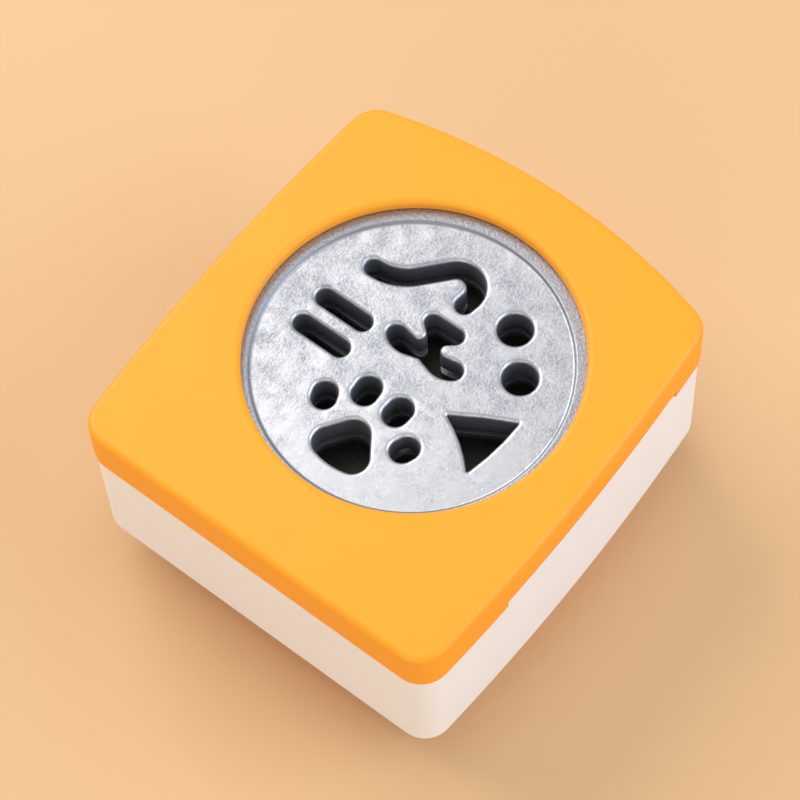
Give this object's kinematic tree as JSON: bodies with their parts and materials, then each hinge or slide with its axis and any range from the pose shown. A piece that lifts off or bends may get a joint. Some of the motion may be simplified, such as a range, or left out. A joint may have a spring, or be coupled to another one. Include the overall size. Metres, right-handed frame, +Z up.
{
  "type": "nori punch",
  "caption": "Palm-sized press punch that cuts cat face, paw and tail shapes out of a nori strip, with a round cast die face in an orange cover on a white body with a proud push button.",
  "frame": {"origin": "middle of the base of the whole tool, on the pressed face of the button, where it rests", "axes": "+Z up towards the die face, X along the nori slot, +Y towards the bulging rear wall"},
  "size_m": [0.0586, 0.0646, 0.0334],
  "materials": {
    "orange_abs": "moulded ABS, satin gloss",
    "white_abs": "moulded ABS, satin gloss",
    "cast_zinc": "cast zinc alloy, bright satin with a faintly pebbled face",
    "grey_pom": "moulded acetal",
    "punch_steel": "blackened tool steel",
    "bright_steel": "nickel-plated steel"
  },
  "bodies": {
    "casing": {"die_cover": "orange_abs", "die_plate": "cast_zinc", "guide_plate": "cast_zinc", "body_shell": "white_abs", "post_front_left": "bright_steel", "post_front_right": "bright_steel", "post_rear_right": "bright_steel", "post_rear_left": "bright_steel", "spring_front_left": "bright_steel", "spring_front_right": "bright_steel", "spring_rear_right": "bright_steel", "spring_rear_left": "bright_steel", "casing_screws": "bright_steel", "die_screws": "bright_steel"},
    "press": {"press_button": "orange_abs", "punch_carrier": "grey_pom", "punch_whisker_upper": "punch_steel", "punch_whisker_lower": "punch_steel", "punch_eye_left": "punch_steel", "punch_eye_right": "punch_steel", "punch_toe_outer_left": "punch_steel", "punch_toe_inner_left": "punch_steel", "punch_toe_inner_right": "punch_steel", "punch_toe_outer_right": "punch_steel", "punch_pad": "punch_steel", "punch_mouth": "punch_steel", "punch_ear": "punch_steel", "punch_tail": "punch_steel", "carrier_screws": "bright_steel"}
  },
  "joints": [
    {"name": "press_slide", "type": "slide", "parent": "casing", "child": "press", "axis": [0, 0, 1], "range_m": [0, 0.0055], "stiffness_N_per_m": 10900, "springref_m": -0.0015, "deforming": ["spring_front_left", "spring_front_right", "spring_rear_right", "spring_rear_left"]}
  ]
}
